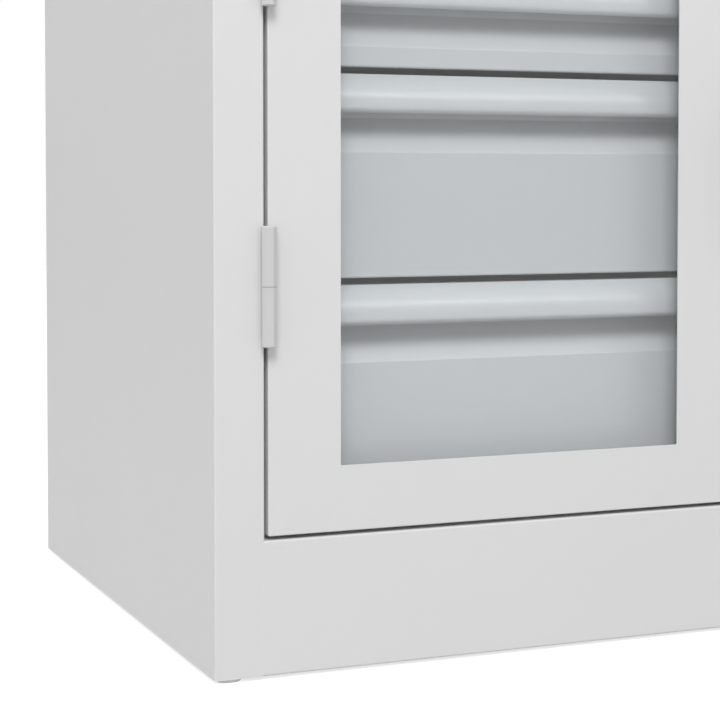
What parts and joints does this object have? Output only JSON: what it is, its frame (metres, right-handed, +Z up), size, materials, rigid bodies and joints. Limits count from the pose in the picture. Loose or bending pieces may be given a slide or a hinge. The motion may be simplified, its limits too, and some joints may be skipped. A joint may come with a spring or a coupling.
{
  "type": "heavy-duty cabinet",
  "caption": "Low steel cabinet with two hinged vision doors, full-width drawers on ball runners behind them, and a lever lock with rods.",
  "frame": {"origin": "on the floor, under the centre of the whole object's box", "axes": "+X to the right seen from the front, +Y to the back, +Z up; the doors are on the -Y side"},
  "size_m": [1, 0.644, 0.85],
  "materials": {
    "powder_coat": "fine powder coat, satin light grey",
    "drawer_paint": "fine powder coat, satin light grey",
    "hinge_paint": "powder coat over a turned steel barrel",
    "galvanised_sheet": "galvanised sheet, dull",
    "zinc_plated_steel": "bright zinc plate",
    "acrylic": "clear acrylic sheet, polished",
    "catch_plastic": "moulded plastic, light grey",
    "handle_plastic": "moulded polyamide, satin black",
    "lock_chrome": "nickel-plated plug"
  },
  "bodies": {
    "carcass": {"side_panel_left": "powder_coat", "side_panel_right": "powder_coat", "plinth": "powder_coat", "header": "powder_coat", "back_panel": "powder_coat", "top_panel": "powder_coat", "bottom_panel": "powder_coat", "runner_uprights": "galvanised_sheet", "foot_brackets": "powder_coat", "levelling_feet": "zinc_plated_steel", "foot_nuts": "zinc_plated_steel", "hinge_barrels_post": "hinge_paint", "hinge_pins": "zinc_plated_steel", "hinge_washers": "zinc_plated_steel", "magnet_catches": "catch_plastic", "runner_outer_rails": "galvanised_sheet"},
    "left_door": {"door_left": "powder_coat", "window_pane_left": "acrylic", "window_strips_left": "galvanised_sheet", "window_nuts_left": "zinc_plated_steel", "hinge_barrels_left": "hinge_paint"},
    "right_door": {"door_right": "powder_coat", "window_pane_right": "acrylic", "window_strips_right": "galvanised_sheet", "window_nuts_right": "zinc_plated_steel", "hinge_barrels_right": "hinge_paint", "lock_case": "zinc_plated_steel", "rod_guides": "catch_plastic", "handle_plate": "handle_plastic"},
    "lever": {"lever_handle": "handle_plastic", "lock_pinion": "zinc_plated_steel"},
    "plug": {"lock_plug": "lock_chrome"},
    "upper_rod": {"lock_rod_upper": "zinc_plated_steel"},
    "lower_rod": {"lock_rod_lower": "zinc_plated_steel"},
    "drawer_1": {"drawer_1_front": "drawer_paint", "drawer_1_tub": "drawer_paint", "drawer_1_inner_rails": "galvanised_sheet"},
    "runner_1": {"drawer_1_middle_rails": "galvanised_sheet", "drawer_1_ball_cages": "zinc_plated_steel"},
    "drawer_2": {"drawer_2_front": "drawer_paint", "drawer_2_tub": "drawer_paint", "drawer_2_inner_rails": "galvanised_sheet"},
    "runner_2": {"drawer_2_middle_rails": "galvanised_sheet", "drawer_2_ball_cages": "zinc_plated_steel"},
    "drawer_3": {"drawer_3_front": "drawer_paint", "drawer_3_tub": "drawer_paint", "drawer_3_inner_rails": "galvanised_sheet"},
    "runner_3": {"drawer_3_middle_rails": "galvanised_sheet", "drawer_3_ball_cages": "zinc_plated_steel"},
    "drawer_4": {"drawer_4_front": "drawer_paint", "drawer_4_tub": "drawer_paint", "drawer_4_inner_rails": "galvanised_sheet"},
    "runner_4": {"drawer_4_middle_rails": "galvanised_sheet", "drawer_4_ball_cages": "zinc_plated_steel"},
    "drawer_5": {"drawer_5_front": "drawer_paint", "drawer_5_tub": "drawer_paint", "drawer_5_inner_rails": "galvanised_sheet"},
    "runner_5": {"drawer_5_middle_rails": "galvanised_sheet", "drawer_5_ball_cages": "zinc_plated_steel"}
  },
  "joints": [
    {"name": "left_door_hinge", "type": "hinge", "parent": "carcass", "child": "left_door", "pos_m": [-0.45535, -0.2858, 0.46105], "axis": [0, 0, -1], "range_deg": [0, 170]},
    {"name": "right_door_hinge", "type": "hinge", "parent": "carcass", "child": "right_door", "pos_m": [0.45535, -0.2858, 0.46105], "axis": [0, 0, 1], "range_deg": [0, 170]},
    {"name": "lever_turn", "type": "hinge", "parent": "right_door", "child": "lever", "pos_m": [0.02365, -0.278, 0.4615], "axis": [0, -1, 0], "range_deg": [0, 90]},
    {"name": "plug_turn", "type": "hinge", "parent": "right_door", "child": "plug", "pos_m": [0.02365, -0.278, 0.5135], "axis": [0, -1, 0], "range_deg": [0, 90]},
    {"name": "upper_rod_slide", "type": "slide", "parent": "right_door", "child": "upper_rod", "axis": [0, 0, 1], "range_m": [0, 0.0126]},
    {"name": "lower_rod_slide", "type": "slide", "parent": "right_door", "child": "lower_rod", "axis": [0, 0, -1], "range_m": [0, 0.0126]},
    {"name": "drawer_1_slide", "type": "slide", "parent": "carcass", "child": "drawer_1", "axis": [0, -1, 0], "range_m": [0, 0.006]},
    {"name": "runner_1_slide", "type": "slide", "parent": "carcass", "child": "runner_1", "axis": [0, -1, 0], "range_m": [0, 0.003]},
    {"name": "drawer_2_slide", "type": "slide", "parent": "carcass", "child": "drawer_2", "axis": [0, -1, 0], "range_m": [0, 0.006]},
    {"name": "runner_2_slide", "type": "slide", "parent": "carcass", "child": "runner_2", "axis": [0, -1, 0], "range_m": [0, 0.003]},
    {"name": "drawer_3_slide", "type": "slide", "parent": "carcass", "child": "drawer_3", "axis": [0, -1, 0], "range_m": [0, 0.006]},
    {"name": "runner_3_slide", "type": "slide", "parent": "carcass", "child": "runner_3", "axis": [0, -1, 0], "range_m": [0, 0.003]},
    {"name": "drawer_4_slide", "type": "slide", "parent": "carcass", "child": "drawer_4", "axis": [0, -1, 0], "range_m": [0, 0.006]},
    {"name": "runner_4_slide", "type": "slide", "parent": "carcass", "child": "runner_4", "axis": [0, -1, 0], "range_m": [0, 0.003]},
    {"name": "drawer_5_slide", "type": "slide", "parent": "carcass", "child": "drawer_5", "axis": [0, -1, 0], "range_m": [0, 0.006]},
    {"name": "runner_5_slide", "type": "slide", "parent": "carcass", "child": "runner_5", "axis": [0, -1, 0], "range_m": [0, 0.003]}
  ],
  "couplings": [
    {"joint": "upper_rod_slide", "follows": "lever_turn", "m_per_rad": 0.008},
    {"joint": "lower_rod_slide", "follows": "lever_turn", "m_per_rad": 0.008},
    {"joint": "runner_1_slide", "follows": "drawer_1_slide", "ratio": 0.5},
    {"joint": "runner_2_slide", "follows": "drawer_2_slide", "ratio": 0.5},
    {"joint": "runner_3_slide", "follows": "drawer_3_slide", "ratio": 0.5},
    {"joint": "runner_4_slide", "follows": "drawer_4_slide", "ratio": 0.5},
    {"joint": "runner_5_slide", "follows": "drawer_5_slide", "ratio": 0.5}
  ]
}
